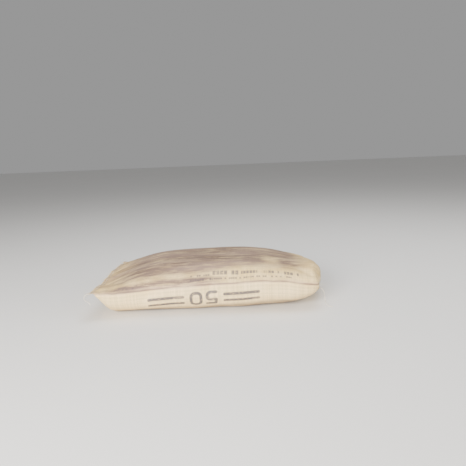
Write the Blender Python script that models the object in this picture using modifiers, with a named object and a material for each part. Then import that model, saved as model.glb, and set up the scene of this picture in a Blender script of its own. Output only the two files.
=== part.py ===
"""Filled cement bag, lying on its broad side: a woven tube sewn shut at both ends.

Metres, +Z up. +X runs from the mouth, which tapers to a flat sewn hem with an ear at each corner,
to the blunt butt end, whose sewn hem is folded down against the bag. -Y is the front.
The origin is the centre of the base of the bag's bounding box, on the floor.
"""

import math

import bmesh
import bpy
from mathutils import Vector

# Overall size of the filled bag
BAG_LENGTH = 0.720
BODY_WIDTH = 0.425
BAG_HEIGHT = 0.139

# Mouth: the wedge, its hem and its ears
MOUTH_WIDTH = 0.472
MOUTH_TAPER_ABOVE = 0.185
MOUTH_TAPER_BELOW = 0.048
MOUTH_SEAM_HEIGHT = 0.078
MOUTH_PULL = 0.005
MOUTH_HEM_WIDTH = 0.014

# Butt: the blunt end, whose seam bows outwards, and its hem, which is folded down
BUTT_WIDTH = 0.345
BUTT_ROUND_ABOVE = 0.075
BUTT_ROUND_BELOW = 0.190
BUTT_ROUND_PLAN = 0.130
BUTT_SEAM_HEIGHT = 0.070
BUTT_BOW = 0.018
BUTT_HEM_WIDTH = 0.026
BUTT_HEM_SETBACK = 0.006

# Cloth and thread
HEM_THICKNESS = 0.003
HEM_OVERLAP = 0.0025
THREAD_DIAMETER = 0.0018
STITCH_INSET = 0.008
STITCH_SETBACK = 0.008
TAIL_LEAD = 0.004
CLEARANCE = 0.0003

# Form of a cross-section: how boxy it is, and how far the unpressed cloth would pass the flat faces
SIDE_HEIGHT = 0.066
SECTION_POWER = 2.6
CROWN_PRESS = 0.007
BASE_PRESS = 0.013

# Form along the bag: where its crown is highest, and how far it has sunk at a reach from there
CREST_X = 0.010
CREST_REACH = 0.200
CREST_DROP = 0.012

# Form of the wedge, as powers: under 1 fills out early, over 1 fills out late
WEDGE_FILL_ABOVE = 0.80
WEDGE_FILL_BELOW = 0.70
EAR_FILL = 2.0

# Fineness of the cage and of the threads
TAPER_STEPS = 7
TAPER_SPACING = 1.6
BARREL_STEPS = 5
ROUND_STEPS = 10
CELLS_ACROSS = 16
HEM_CELLS_DOWN = 6
THREAD_STEPS = 24
LEAD_STEPS = 2
POINTS_PER_TAIL = 28
RUN_STEP = 0.00025
ACROSS_STEP = 0.01

# Where the free tails go from the end of their stitching, after a short straight lead, chosen by hand
MOUTH_TAIL_ROUTE = (
    (-0.0035, -0.0095, 0.0012),
    (-0.0110, -0.0150, 0.0020),
    (-0.0185, -0.0170, -0.0030),
    (-0.0205, -0.0170, -0.0115),
    (-0.0155, -0.0165, -0.0190),
    (-0.0075, -0.0175, -0.0235),
    (-0.0020, -0.0200, -0.0310),
)
BUTT_TAIL_ROUTE = (
    (0.0030, -0.0075, -0.0035),
    (0.0075, -0.0110, -0.0130),
    (0.0095, -0.0125, -0.0250),
    (0.0105, -0.0140, -0.0380),
    (0.0140, -0.0170, -0.0490),
    (0.0220, -0.0230, -0.0550),
    (0.0330, -0.0280, -0.0560),
)

# Colour, roughness
SACK_CLOTH = ((0.74, 0.66, 0.50), 0.62)
SEWING_THREAD = ((0.85, 0.80, 0.68), 0.80)

MOUTH_X = -BAG_LENGTH / 2
BUTT_SEAM_X = BAG_LENGTH / 2 - HEM_THICKNESS
HEM_INSETS = (0.0, STITCH_INSET, MOUTH_HEM_WIDTH)


def clear_scene():
    for obj in list(bpy.data.objects):
        bpy.data.objects.remove(obj)


def new_collection(name):
    collection = bpy.data.collections.new(name)
    bpy.context.scene.collection.children.link(collection)
    return collection


def new_material(name, colour, roughness):
    material = bpy.data.materials.new(name)
    material.use_nodes = True
    shader = material.node_tree.nodes["Principled BSDF"]
    shader.inputs["Base Color"].default_value = (*colour, 1.0)
    shader.inputs["Roughness"].default_value = roughness
    return material


def blend(start, end, share):
    return start + (end - start) * share


def swell(share, fill):
    """How full the wedge is, from 0 at the hem to 1 where the taper ends: steep first, then level."""
    share = min(max(share, 0.0), 1.0)
    return math.sin(share * math.pi / 2) ** fill


def round_out(share):
    """How full a rounded end is, from 0 at its seam to 1 where the rounding ends: a quarter of a circle."""
    return math.sqrt(1 - (1 - min(max(share, 0.0), 1.0)) ** 2)


def crown_height(x):
    """How high the upper cloth would reach at this place along the bag if nothing had pressed it."""
    return BAG_HEIGHT + CROWN_PRESS - CREST_DROP * ((x - CREST_X) / CREST_REACH) ** 2


class Station:
    """One cross-section of the bag: where it lies, how wide it is and how high its cloth reaches."""

    def __init__(self, x, half_width, side, crown, base, pull):
        self.x = x
        self.half_width = half_width
        self.side = side
        self.crown = crown
        self.base = base
        self.pull = pull

    def point(self, panel, v):
        """A point of the upper (panel 1) or lower (panel -1) cloth, v from -1 at the front to 1 behind."""
        rise = (1 - abs(v) ** SECTION_POWER) ** (1 / SECTION_POWER)
        edge = self.side + panel * HEM_THICKNESS / 2
        level = blend(edge, self.crown if panel > 0 else self.base, rise)
        return Vector((
            self.x + self.pull * (1 - v * v),
            self.half_width * v,
            min(max(level, 0.0), BAG_HEIGHT),
        ))


def mouth_station(inset):
    """The section at this distance from the mouth hem's edge, measured at the ears."""
    x = MOUTH_X + inset
    above = swell((inset - MOUTH_HEM_WIDTH) / MOUTH_TAPER_ABOVE, WEDGE_FILL_ABOVE)
    below = swell((inset - MOUTH_HEM_WIDTH) / MOUTH_TAPER_BELOW, WEDGE_FILL_BELOW)
    side = blend(MOUTH_SEAM_HEIGHT, SIDE_HEIGHT, above)
    return Station(
        x,
        blend(MOUTH_WIDTH, BODY_WIDTH, above ** EAR_FILL) / 2,
        side,
        blend(side + HEM_THICKNESS / 2, crown_height(x), above),
        blend(side - HEM_THICKNESS / 2, -BASE_PRESS, below),
        MOUTH_PULL * (1 - above),
    )


def butt_station(inset):
    """The section at this distance from the butt seam, measured in the middle."""
    x = BUTT_SEAM_X - inset
    above = round_out(inset / BUTT_ROUND_ABOVE)
    below = round_out(inset / BUTT_ROUND_BELOW)
    plan = round_out(inset / BUTT_ROUND_PLAN)
    side = blend(BUTT_SEAM_HEIGHT, SIDE_HEIGHT, below)
    bow = BUTT_BOW * (1 - plan)
    return Station(
        x - bow,
        blend(BUTT_WIDTH, BODY_WIDTH, plan) / 2,
        side,
        blend(side + HEM_THICKNESS / 2, crown_height(x), above),
        blend(side - HEM_THICKNESS / 2, -BASE_PRESS, below),
        bow,
    )


def stations():
    """Every section of the cage, from the mouth hem's edge to the butt seam."""
    taper_end = MOUTH_HEM_WIDTH + MOUTH_TAPER_ABOVE
    barrel = BAG_LENGTH - HEM_THICKNESS - BUTT_ROUND_BELOW - taper_end
    found = [mouth_station(inset) for inset in HEM_INSETS]
    found += [
        mouth_station(MOUTH_HEM_WIDTH + MOUTH_TAPER_ABOVE * (step / TAPER_STEPS) ** TAPER_SPACING)
        for step in range(1, TAPER_STEPS + 1)
    ]
    found += [
        mouth_station(taper_end + barrel * step / BARREL_STEPS)
        for step in range(1, BARREL_STEPS + 1)
    ]
    turns = [math.pi / 2 * step / ROUND_STEPS for step in range(1, ROUND_STEPS + 1)]
    return found + [butt_station(BUTT_ROUND_BELOW * (1 - math.sin(turn))) for turn in turns]


def split_along(bm, axis, cuts):
    """Cuts every edge that runs along this axis, so that the slab becomes a grid that way."""
    along = [
        edge for edge in bm.edges
        if abs((edge.verts[0].co - edge.verts[1].co).normalized()[axis]) > 0.9
    ]
    bmesh.ops.subdivide_edges(bm, edges=along, cuts=cuts, use_grid_fill=True)


def flat_slab(cells_along, cells_across):
    """The empty sack laid flat, as a unit slab: a grid of cells above and below, one cell thick."""
    bm = bmesh.new()
    bmesh.ops.create_cube(bm, size=1.0)
    split_along(bm, 0, cells_along - 1)
    split_along(bm, 1, cells_across - 1)
    return bm


def make_sack(collection, material):
    """The sack with its cement: the flat slab, its points moved to where the filling pushes the cloth."""
    found = stations()
    bm = flat_slab(len(found) - 1, CELLS_ACROSS)
    crease = bm.edges.layers.float.new("crease_edge")
    last = len(found) - 1
    for edge in bm.edges:
        ends = {round((vert.co.x + 0.5) * last) for vert in edge.verts}
        sides = {round(vert.co.y * 2, 4) for vert in edge.verts}
        beside_hem = max(ends) < len(HEM_INSETS) and sides in ({1.0}, {-1.0})
        if ends in ({0}, {last}) or beside_hem:
            edge[crease] = 1.0
    for vert in bm.verts:
        station = found[round((vert.co.x + 0.5) * last)]
        panel = 1 if vert.co.z > 0 else -1
        vert.co = station.point(panel, math.sin(vert.co.y * math.pi))
    bmesh.ops.recalc_face_normals(bm, faces=bm.faces)
    mesh = bpy.data.meshes.new("sack")
    bm.to_mesh(mesh)
    bm.free()
    mesh.shade_smooth()
    sack = bpy.data.objects.new("sack", mesh)
    sack.data.materials.append(material)
    collection.objects.link(sack)
    smooth = sack.modifiers.new("smooth", "SUBSURF")
    smooth.levels = 1
    smooth.render_levels = 1
    return sack


def inset_at(run):
    """The distance from the butt seam at which the lower cloth has run this far from it."""
    inset = 0.0
    last = butt_station(inset).point(-1, 0.0)
    while run > 0:
        inset += RUN_STEP
        point = butt_station(inset).point(-1, 0.0)
        run -= (point - last).length
        last = point
    return inset


def on_butt_hem(inset, y, lift):
    """A point this far outside the lower cloth, at a distance from the butt seam and a place across."""
    station = butt_station(inset)
    v = y / station.half_width
    here = station.point(-1, v)
    along = here - butt_station(inset + RUN_STEP).point(-1, v)
    across = station.point(-1, v + ACROSS_STEP) - station.point(-1, v - ACROSS_STEP)
    return here + across.cross(along).normalized() * lift


def make_butt_hem(helpers):
    """The butt hem, folded down: a sheet along the cloth of the blunt end, sunk into it to join it."""
    bm = bmesh.new()
    bmesh.ops.create_grid(bm, x_segments=HEM_CELLS_DOWN, y_segments=CELLS_ACROSS, size=0.5)
    seam = inset_at(HEM_OVERLAP)
    edge = inset_at(BUTT_HEM_WIDTH)
    half = BUTT_WIDTH / 2 - BUTT_HEM_SETBACK
    middle = (HEM_THICKNESS - HEM_OVERLAP) / 2
    for vert in bm.verts:
        inset = blend(seam, edge, vert.co.x + 0.5)
        vert.co = on_butt_hem(inset, vert.co.y * 2 * half, middle)
    bmesh.ops.recalc_face_normals(bm, faces=bm.faces)
    mesh = bpy.data.meshes.new("butt_hem")
    bm.to_mesh(mesh)
    bm.free()
    hem = bpy.data.objects.new("butt_hem", mesh)
    helpers.objects.link(hem)
    thickness = hem.modifiers.new("thickness", "SOLIDIFY")
    thickness.thickness = HEM_THICKNESS + HEM_OVERLAP
    thickness.offset = 0.0
    hem.hide_render = True
    hem.display_type = "WIRE"
    return hem


def join_hem(sack, hem):
    union = sack.modifiers.new("butt_hem", "BOOLEAN")
    union.operation = "UNION"
    union.object = hem


def make_thread(name, points, collection, material):
    """A round thread through these points, with closed ends."""
    curve = bpy.data.curves.new(name, "CURVE")
    curve.dimensions = "3D"
    curve.bevel_depth = THREAD_DIAMETER / 2
    curve.bevel_resolution = 2
    curve.use_fill_caps = True
    spline = curve.splines.new("POLY")
    spline.points.add(len(points) - 1)
    for slot, point in zip(spline.points, points):
        slot.co = (*point, 1.0)
    thread = bpy.data.objects.new(name, curve)
    thread.data.materials.append(material)
    collection.objects.link(thread)
    return thread


def mouth_stitching_points():
    """Across the top face of the mouth hem, from the front ear to the rear one."""
    station = mouth_station(STITCH_INSET)
    half = MOUTH_WIDTH / 2 - STITCH_SETBACK
    lift = Vector((0, 0, CLEARANCE + THREAD_DIAMETER / 2))
    shares = [step / THREAD_STEPS * 2 - 1 for step in range(THREAD_STEPS + 1)]
    return [station.point(1, share * half / station.half_width) + lift for share in shares]


def butt_stitching_points():
    """Across the outer face of the folded butt hem, from its front end to its rear one."""
    inset = inset_at(BUTT_HEM_WIDTH - STITCH_INSET)
    half = BUTT_WIDTH / 2 - BUTT_HEM_SETBACK - STITCH_SETBACK
    lift = HEM_THICKNESS + CLEARANCE + THREAD_DIAMETER / 2
    shares = [step / THREAD_STEPS * 2 - 1 for step in range(THREAD_STEPS + 1)]
    return [on_butt_hem(inset, share * half, lift) for share in shares]


def smooth_route(corners, count):
    """Points spread evenly in parameter along the Catmull-Rom curve through the corners."""
    padded = [2 * corners[0] - corners[1], *corners, 2 * corners[-1] - corners[-2]]
    found = []
    for step in range(count):
        place = step / (count - 1) * (len(corners) - 1)
        span = min(int(place), len(corners) - 2)
        t = place - span
        a, b, c, d = padded[span:span + 4]
        found.append(0.5 * (
            2 * b
            + (c - a) * t
            + (2 * a - 5 * b + 4 * c - d) * t * t
            + (3 * b - a - 3 * c + d) * t ** 3
        ))
    return found


def tail_points(stitching, route):
    """The route of a free tail, from a clearance beyond the front end of its stitching, above the floor."""
    outward = (stitching[0] - stitching[1]).normalized()
    reaches = [CLEARANCE + TAIL_LEAD * step / LEAD_STEPS for step in range(LEAD_STEPS + 1)]
    corners = [stitching[0] + outward * reach for reach in reaches]
    corners += [stitching[0] + Vector(place) for place in route]
    points = smooth_route(corners, POINTS_PER_TAIL)
    for point in points:
        point.z = max(point.z, THREAD_DIAMETER / 2)
    return points


def main():
    clear_scene()
    parts = new_collection("cement_bag")
    helpers = new_collection("helpers")
    cloth = new_material("sack_cloth", *SACK_CLOTH)
    thread = new_material("sewing_thread", *SEWING_THREAD)
    sack = make_sack(parts, cloth)
    join_hem(sack, make_butt_hem(helpers))
    mouth = mouth_stitching_points()
    butt = butt_stitching_points()
    make_thread("mouth_stitching", mouth, parts, thread)
    make_thread("butt_stitching", butt, parts, thread)
    make_thread("mouth_thread_tail", tail_points(mouth, MOUTH_TAIL_ROUTE), parts, thread)
    make_thread("butt_thread_tail", tail_points(butt, BUTT_TAIL_ROUTE), parts, thread)


main()
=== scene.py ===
"""Looks of a filled cement bag: woven sack, sewn hems, loose threads, dust, floor, light and camera.

Metres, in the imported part's frame: +X runs from the tapered mouth to the blunt butt end, -Y is the front,
+Z is up. The cloth has its own coordinates: how far along the bag from the mouth, and how far round it from
the front fold of the flat tube, over the top and back underneath.
"""

import functools
import math
import random
from dataclasses import dataclass

import bpy
import numpy as np
from mathutils import Matrix, Vector, noise

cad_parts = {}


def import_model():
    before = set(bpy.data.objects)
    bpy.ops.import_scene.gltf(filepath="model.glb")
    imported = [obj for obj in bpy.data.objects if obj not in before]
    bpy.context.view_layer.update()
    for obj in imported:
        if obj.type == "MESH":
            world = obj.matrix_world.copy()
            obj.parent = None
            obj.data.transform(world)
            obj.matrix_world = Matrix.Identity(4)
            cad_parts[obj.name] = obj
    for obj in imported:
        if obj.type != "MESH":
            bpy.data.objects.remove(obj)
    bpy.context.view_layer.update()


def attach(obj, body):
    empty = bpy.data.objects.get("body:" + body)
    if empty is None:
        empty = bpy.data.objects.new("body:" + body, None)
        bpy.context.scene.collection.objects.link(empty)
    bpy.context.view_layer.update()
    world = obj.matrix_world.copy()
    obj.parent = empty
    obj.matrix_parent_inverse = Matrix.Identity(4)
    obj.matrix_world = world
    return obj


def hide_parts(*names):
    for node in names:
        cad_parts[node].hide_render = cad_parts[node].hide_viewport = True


TINY = 1e-12

# The photograph's camera, where it stands and how it is turned
CAMERA_PLACE = (0.123, -1.686, 0.503)
CAMERA_YAW = math.radians(-1.65)
CAMERA_PITCH = math.radians(9.85)
CAMERA_ROLL = math.radians(-2.4)
CAMERA_LENS = 38.94
SENSOR_WIDTH = 36.0

# The studio: each light's name, place, size, power and colour, where they aim, the sky and the floor
LIGHTS = (
    ("key", (-0.9, -2.6, 1.0), 1.2, 190, (1.0, 0.97, 0.93)),
    ("overhead", (0.4, 0.4, 2.4), 1.8, 45, (1, 1, 1)),
    ("fill", (2.4, -0.8, 1.0), 1.6, 30, (1, 1, 1)),
)
LIGHT_AIM = (0, 0, 0.07)
SKY_COLOUR = (0.90, 0.90, 0.90)
SKY_STRENGTH = 0.38
FLOOR_REACH = 12.0

# Sizes of the part, as in its source
BAG_LENGTH = 0.720
BODY_WIDTH = 0.425
BAG_HEIGHT = 0.139
MOUTH_WIDTH = 0.472
MOUTH_TAPER_ABOVE = 0.185
MOUTH_TAPER_BELOW = 0.048
MOUTH_SEAM_HEIGHT = 0.078
MOUTH_PULL = 0.005
MOUTH_HEM_WIDTH = 0.014
BUTT_WIDTH = 0.345
BUTT_ROUND_ABOVE = 0.075
BUTT_ROUND_BELOW = 0.190
BUTT_ROUND_PLAN = 0.130
BUTT_SEAM_HEIGHT = 0.070
BUTT_BOW = 0.018
BUTT_HEM_WIDTH = 0.026
BUTT_HEM_SETBACK = 0.006
HEM_THICKNESS = 0.003
THREAD_DIAMETER = 0.0018
STITCH_INSET = 0.008
STITCH_SETBACK = 0.008
TAIL_LEAD = 0.004
CLEARANCE = 0.0003
SIDE_HEIGHT = 0.066
SECTION_POWER = 2.6
CROWN_PRESS = 0.007
BASE_PRESS = 0.013
CREST_X = 0.010
CREST_REACH = 0.200
CREST_DROP = 0.012
WEDGE_FILL_ABOVE = 0.80
WEDGE_FILL_BELOW = 0.70
EAR_FILL = 2.0
THREAD_STEPS = 24
LEAD_STEPS = 2
POINTS_PER_TAIL = 28
RUN_STEP = 0.00025
ACROSS_STEP = 0.01
MOUTH_X = -BAG_LENGTH / 2
BUTT_SEAM_X = BAG_LENGTH / 2 - HEM_THICKNESS
BUTT_HEM_HALF = BUTT_WIDTH / 2 - BUTT_HEM_SETBACK
FIRST_STITCH_SHARES = (-1.0, 2 / THREAD_STEPS - 1)

# Where the loose tails go from the end of their stitching, as in the part's source
MOUTH_TAIL_ROUTE = (
    (-0.0035, -0.0095, 0.0012),
    (-0.0110, -0.0150, 0.0020),
    (-0.0185, -0.0170, -0.0030),
    (-0.0205, -0.0170, -0.0115),
    (-0.0155, -0.0165, -0.0190),
    (-0.0075, -0.0175, -0.0235),
    (-0.0020, -0.0200, -0.0310),
)
BUTT_TAIL_ROUTE = (
    (0.0030, -0.0075, -0.0035),
    (0.0075, -0.0110, -0.0130),
    (0.0095, -0.0125, -0.0250),
    (0.0105, -0.0140, -0.0380),
    (0.0140, -0.0170, -0.0490),
    (0.0220, -0.0230, -0.0550),
    (0.0330, -0.0280, -0.0560),
)

# The cloth's grid: the flat tube that it was, its cells along the bag and round it, and the column of the
# far fold. A place is read just before the last row at most, so that a row always follows it.
TUBE_LENGTH = 0.770
TUBE_GIRTH = 0.990
CELLS_ALONG = 128
CELLS_AROUND = 166
FAR_FOLD = CELLS_AROUND // 2
LAST_ROW = CELLS_ALONG - 1e-6
SECTION_STEPS = 161
FORM_STEPS = 400

# How far up the front the tube's fold has rolled, at places along the bag, measured round the cloth
FOLD_PLACES = (-0.346, -0.300, -0.240, -0.170, -0.080, 0.020, 0.150, 0.240, 0.310, 0.357)
FOLD_RISES = (0.000, 0.004, 0.011, 0.017, 0.021, 0.025, 0.029, 0.025, 0.011, 0.000)
FOLD_RIDGE = 0.0007
FOLD_SHOULDER = 0.3

# Where the filling bulges or has sunk: a place on the bag, how far it spreads, and how far the cloth moves
BULGES = (
    ((-0.350, 0.225, 0.080), 0.060, (0.001, -0.002, -0.008)),
    ((-0.270, 0.160, 0.115), 0.070, (-0.001, 0.001, 0.005)),
    ((-0.325, 0.030, 0.095), 0.075, (0.000, 0.002, 0.008)),
    ((-0.285, -0.165, 0.092), 0.045, (0.000, 0.002, -0.006)),
    ((-0.335, -0.200, 0.050), 0.050, (-0.001, 0.004, 0.005)),
    ((-0.200, -0.205, 0.040), 0.070, (0.000, -0.003, 0.000)),
    ((0.020, -0.200, 0.045), 0.080, (0.000, 0.003, 0.000)),
    ((-0.060, 0.080, 0.139), 0.080, (0.000, 0.000, -0.003)),
    ((0.020, 0.215, 0.060), 0.090, (0.000, 0.004, 0.000)),
    ((0.190, -0.190, 0.008), 0.070, (0.000, 0.002, 0.006)),
    ((0.260, 0.000, 0.137), 0.080, (0.002, -0.001, -0.009)),
    ((0.290, 0.150, 0.122), 0.070, (-0.012, -0.003, -0.010)),
    ((0.335, -0.090, 0.110), 0.050, (0.010, 0.000, 0.014)),
    ((0.345, 0.080, 0.095), 0.060, (0.013, -0.003, -0.008)),
    ((0.342, -0.140, 0.055), 0.050, (-0.005, 0.002, 0.002)),
    ((0.310, 0.120, 0.105), 0.045, (-0.002, 0.000, -0.008)),
    ((0.352, 0.020, 0.090), 0.045, (0.001, 0.001, 0.003)),
)
LUMP_SIZE = 0.090
LUMP_HEIGHT = 0.0020
LUMP_FADE_ROWS = 12

# Gathers that run into the bag from the mouth's stitching, and are lower towards the ears
GATHER_HEIGHT = 0.0016
GATHER_WIDTH = 0.017
GATHER_REACH = 0.085
GATHER_CALM = 0.030
GATHER_SEEDS = (2.0, 8.0)

# The cloth simulation: its settings, how hard the cloth's places are held, and how far the cloth may move
CLOTH_SETTINGS = {
    "quality": 6,
    "mass": 0.15,
    "tension_stiffness": 40,
    "compression_stiffness": 20,
    "shear_stiffness": 8,
    "bending_stiffness": 10.0,
    "tension_damping": 15,
    "compression_damping": 15,
    "air_damping": 3,
    "use_pressure": True,
    "uniform_pressure_force": 4.0,
    "pin_stiffness": 1.0,
    "shrink_max": 0.0,
    "shrink_min": -0.045,
}
SIM_FRAMES = 30
SIM_REACH = 0.009
HOLD = 0.12
HOLD_ON_FLOOR = 0.75
ON_FLOOR = 0.002
FIXED_BUTT_ROWS = 2

# Where the cloth is slack: how far from the mouth and the butt, and how much and how widely along the folds
SLACK_FROM_MOUTH = 0.120
SLACK_FROM_BUTT = 0.110
SLACK_POWER = 1.5
SLACK_AT_FOLD = 0.08
SLACK_FOLD_WIDTH = 0.04

# The mouth hem: two raw layers of cloth, wavy away from the front ear
HEM_LAYERS = 0.0014
HEM_MARGIN = 0.001
HEM_FADE_ROWS = 4
HEM_WAVE = 0.0022
HEM_WAVE_LENGTH = 0.045
HEM_EDGE_WANDER = 0.0012
HEM_WANDER_RATE = 1.7
HEM_WAVE_SEED = 3.0
HEM_WANDER_SEED = 9.0
EAR_STILL = 0.020
EAR_FREE = 0.070

# The folded butt hem: how thick its roll is, how far it stands off, and how its free edge waves
ROLL_THICKNESS = 0.0016
ROLL_LIFT = 0.0004
ROLL_WAVE = 0.0016
ROLL_WAVE_SEEDS = (5.0, 1.0)
ROLL_WAVE_LENGTHS = (0.055, 0.020)
ROLL_SEAM_SINK = 0.0006
ROLL_SEAM_RISE = 0.0004
ROLL_SEAM_SHARE = 0.35
ROLL_CELLS_DOWN = 12
ROLL_CELLS_ACROSS = 90

# Chain stitches: straight on the needle's side, loops on the other, and a lead from the first to the tail
STITCH_LENGTH = 0.0080
STITCH_GAP = 0.0007
STITCH_RADIUS = 0.00080
STITCH_SINK = 0.0005
STITCH_RISE = 0.7
STITCH_FLATNESS = 5
STITCH_STEPS = 22
LOOP_MIDDLE = 0.62
LOOP_REACH = 0.66
LOOP_WIDTH = 0.0017
LOOP_NARROWING = 0.45
LOOP_RADIUS = 0.00060
LOOP_LIFTS = (0.6, 1.3)
LOOP_TURN = math.pi * 0.94
LOOP_STEPS = 36
LEAD_SUNK = 0.0045
LEAD_RISEN = 0.0015
LEAD_POINTS = 14
MOUTH_SEAM_ROWS = 8
MOUTH_SEAM_POINTS = 240
BUTT_SEAM_POINTS = 200

# Thread: its sides, how the loose tails end, its twisted plies, and the way that a tube's sides start from
THREAD_SIDES = 8
TAIL_FINENESS = 6
TAIL_TIP = 0.55
PLIES = 3
PLY_DEPTH = 0.10
PLY_PITCH = 0.0021
START_DIRECTION = (0.3, 0.5, 0.8)

# Frayed cloth: ends of single tapes along the two raw edges, of which a few at the mouth are longer
TAPE_WIDTH = 0.0026
TAPE_THICKNESS = 0.00014
FRAY_SHARE = 0.62
FRAY_SWAY = 0.3
MOUTH_FRAY_SEED = 11
BUTT_FRAY_SEED = 17
MOUTH_FRAY = {"lengths": (0.0025, 0.0075), "tips": (0.35, 0.9), "root": 0.0015, "droop": 0.0, "points": 5}
MOUTH_FRAY_SINK = 0.0002
MOUTH_FRAY_BEND = 0.35
MOUTH_FRAY_MARGIN = 0.3
LONG_TAPE_SHARE = 0.1
LONG_TAPE = 1.6
BUTT_FRAY = {"lengths": (0.0015, 0.0045), "tips": (0.4, 0.9), "root": 0.001, "droop": 0.0006, "points": 4}
BUTT_FRAY_SINK = 0.0008
BUTT_FRAY_STEP = 0.004
BUTT_FRAY_COUNT = 128

# Fine fibres at the mouth's ears and the butt's corners: row and column of the cloth, heading, how many
FIBRE_TUFTS = (
    (0.3, 0.5, (-1.0, -0.5, 0.1), 16),
    (0.3, 82.5, (-1.0, 0.6, 0.1), 12),
    (127.5, 165.0, (0.6, -0.5, -0.3), 6),
    (127.5, 84.0, (0.6, 0.5, -0.3), 6),
)
FIBRE_RADIUS = 0.00018
FIBRE_RADIUS_SHARES = (0.7, 1.5)
FIBRE_LENGTHS = (0.010, 0.026)
FIBRE_STEPS = 16
FIBRE_CURL = 0.75
FIBRE_SAG = 0.06
FIBRE_ROOT_SPREAD = 0.0015
FIBRE_HEADING_SPREAD = 0.8
FIBRE_LOWEST = -0.7
FIBRE_SEED = 23

# The noise that turns a fibre: how far apart fibres, steps and axes read it
FIBRES_APART = (3.7, 1.3)
STEPS_APART = 0.35
AXES_APART = 17

# Colours
CLEAN_CLOTH = (0.96, 0.735, 0.395)
YELLOW_CLOTH = (0.82, 0.57, 0.22)
# The dust colours; on the cloth they also paint the shade just above the fold, towards the mouth
DUST = (0.105, 0.064, 0.064)
PALE_DUST = (0.240, 0.158, 0.134)
FOLD_DIRT = (0.165, 0.104, 0.082)
FOLD_FLUSH = (0.62, 0.40, 0.30)
PRINT_INK = (0.095, 0.080, 0.082)
THREAD_COLOUR = (0.80, 0.74, 0.60)
THREAD_SHADE = (0.62, 0.55, 0.43)
FLOOR_COLOUR = (0.80, 0.79, 0.77)
FLOOR_SHADE = 0.96

# Patterns in the cloth: length along the bag, width round it, seed and detail
BROAD_STREAKS = (0.30, 0.050, 7.0, 3.0)
LONG_STREAKS = (0.150, 0.016, 17.0, 4.0)
THIN_STREAKS = (0.045, 0.0045, 1.0, 3.0)
PATCHES = (0.085, 0.060, 13.0, 3.0)
SPECKS = (0.0060, 0.0040, 23.0, 3.0)
PRINT_WEAR = (0.006, 0.005, 31.0, 3.0)
CREASES = (0.030, 0.012, 41.0, 4.0)

# The weave: how far a tape dips beside one that it passes under, and where the numbers of those across start
TAPE_DIP = 0.55
ACROSS_START = 5000.0

# How dust, and the painted shade just above the fold, cover the cloth: smooth steps in the streaks, each
# pattern's share, a step down to bare cloth, the shares in hollows and where the cloth is rubbed, and how
# deep their colour is and where it turns paler
THIN_STEP = (0.34, 0.66)
LONG_STEP = (0.32, 0.66)
THIN_SHARE = 0.60
LONG_SHARE = 0.50
EVEN_SHARE = 0.42
PATCHES_SHARE = 0.90
SPECKS_SHARE = 0.40
TAPES_SHARE = 0.20
BARE_STEP = (-0.10, 0.35)
HOLLOWS_SHARE = 0.25
RUBBED_SHARE = 0.60
DUST_DEPTH = 0.92
DUST_TINTS = (0.35, 0.65)

# Where dust lies, along the bag or above the fold; just above the fold it stands for painted shade as well. A
# smooth step has its start and end, and the values there if they aren't 0 and 1; a band has its low and high
# side and its softness.
CROWN_EDGE_ALONG = (0.34, 0.50, 0.010, 0.040)
CROWN_FROM_EDGE = (-0.004, 0.064)
CROWN_ALONG = (0.42, 0.56, 0.95, 0.84)
# Dust just above the fold, most towards the mouth, where it also paints the shade of the hollow cloth
BY_FOLD_DUST_AND_SHADE_LEVEL = (0.002, 0.028, 0.009)
BY_FOLD_DUST_AND_SHADE_ALONG = (0.46, 0.35, 0.18, 0.88)
UNDERSIDE_LEVEL = (-0.058, -0.090, 0.0, 0.50)
BUTT_ALONG = (0.635, 0.705, 1.0, 0.28)
MOUTH_ALONG = (0.030, 0.180, 0.50, 1.0)
RUBBED_ALONG = (0.555, 0.605, 0.020)
RUBBED_ABOVE = (0.080, 0.165, 0.035)

# Where the clean cloth is yellower, and where the fold is flushed and dirty, as smooth steps too
YELLOW_PATCHES = (0.40, 0.62, 0.50, 1.0)
YELLOW_MOUTH = (0.20, 0.03, 0.0, 0.8)
YELLOW_LEVEL = (-0.030, 0.020, 0.28, 1.0)
FLUSH_FROM_FOLD = (0.012, 0.001)
FLUSH_STREAKS = (0.35, 0.60, 0.10, 0.40)
DIRT_FROM_FOLD = (0.0050, 0.0008)
DIRT_PATCHES = (0.35, 0.60, 0.30, 0.85)

# The relief of the cloth: heights of the weave, the creases and the crust of dust, and the stitches' groove
WEAVE_HEIGHT = 0.00020
CREASE_HEIGHT = 0.0011
CRUST_HEIGHT = 0.00025
GROOVE = (0.003, 0.0, 0.0, -0.0006)

# Brightness and roughness worked out from a value: how much the whole of it adds, and where it starts
TONE_BRIGHTNESS = (0.38, 0.81)
# Painted shade in the weave's hollows: the cloth's colour darkens where the weave is low
WEAVE_PAINTED_SHADE = (0.22, 0.82)
TAPE_ROUGHNESS = (0.2, 0.42)
THREAD_ROUGHNESS = (0.25, 0.65)
FLOOR_ROUGHNESS = (0.12, 0.66)
CLOTH_ROUGHNESS = 0.44
DUST_ROUGHNESS = 0.38
TONE_ROUGHNESS = 0.12

# Grains of the loose tapes, the thread and the floor: scale and detail, and the smooth steps read from them
TAPE_LINES = (1800.0, 2.0)
TAPE_PATCHES = (90.0, 2.0)
TAPE_YELLOW = (0.35, 0.60)
TAPE_DUST = (60.0, 3.0)
TAPE_DUST_STEP = (0.45, 0.65, 0.0, 0.7)
THREAD_FIBRES = (2600.0, 3.0)
THREAD_DUST = (45.0, 3.0)
THREAD_DUST_STEP = (0.42, 0.68, 0.0, 0.6)
FLOOR_CLOUDS = (1.4, 4.0)
FLOOR_GRAIN = (160.0, 2.0)

# How strongly each material's relief shows, and the height in metres that a value of 1 stands for
CLOTH_RELIEF = (0.8, 1.0)
TAPE_RELIEF = (0.5, 0.0002)
THREAD_RELIEF = (0.6, 0.0003)
FLOOR_RELIEF = (0.15, 0.0004)

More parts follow.
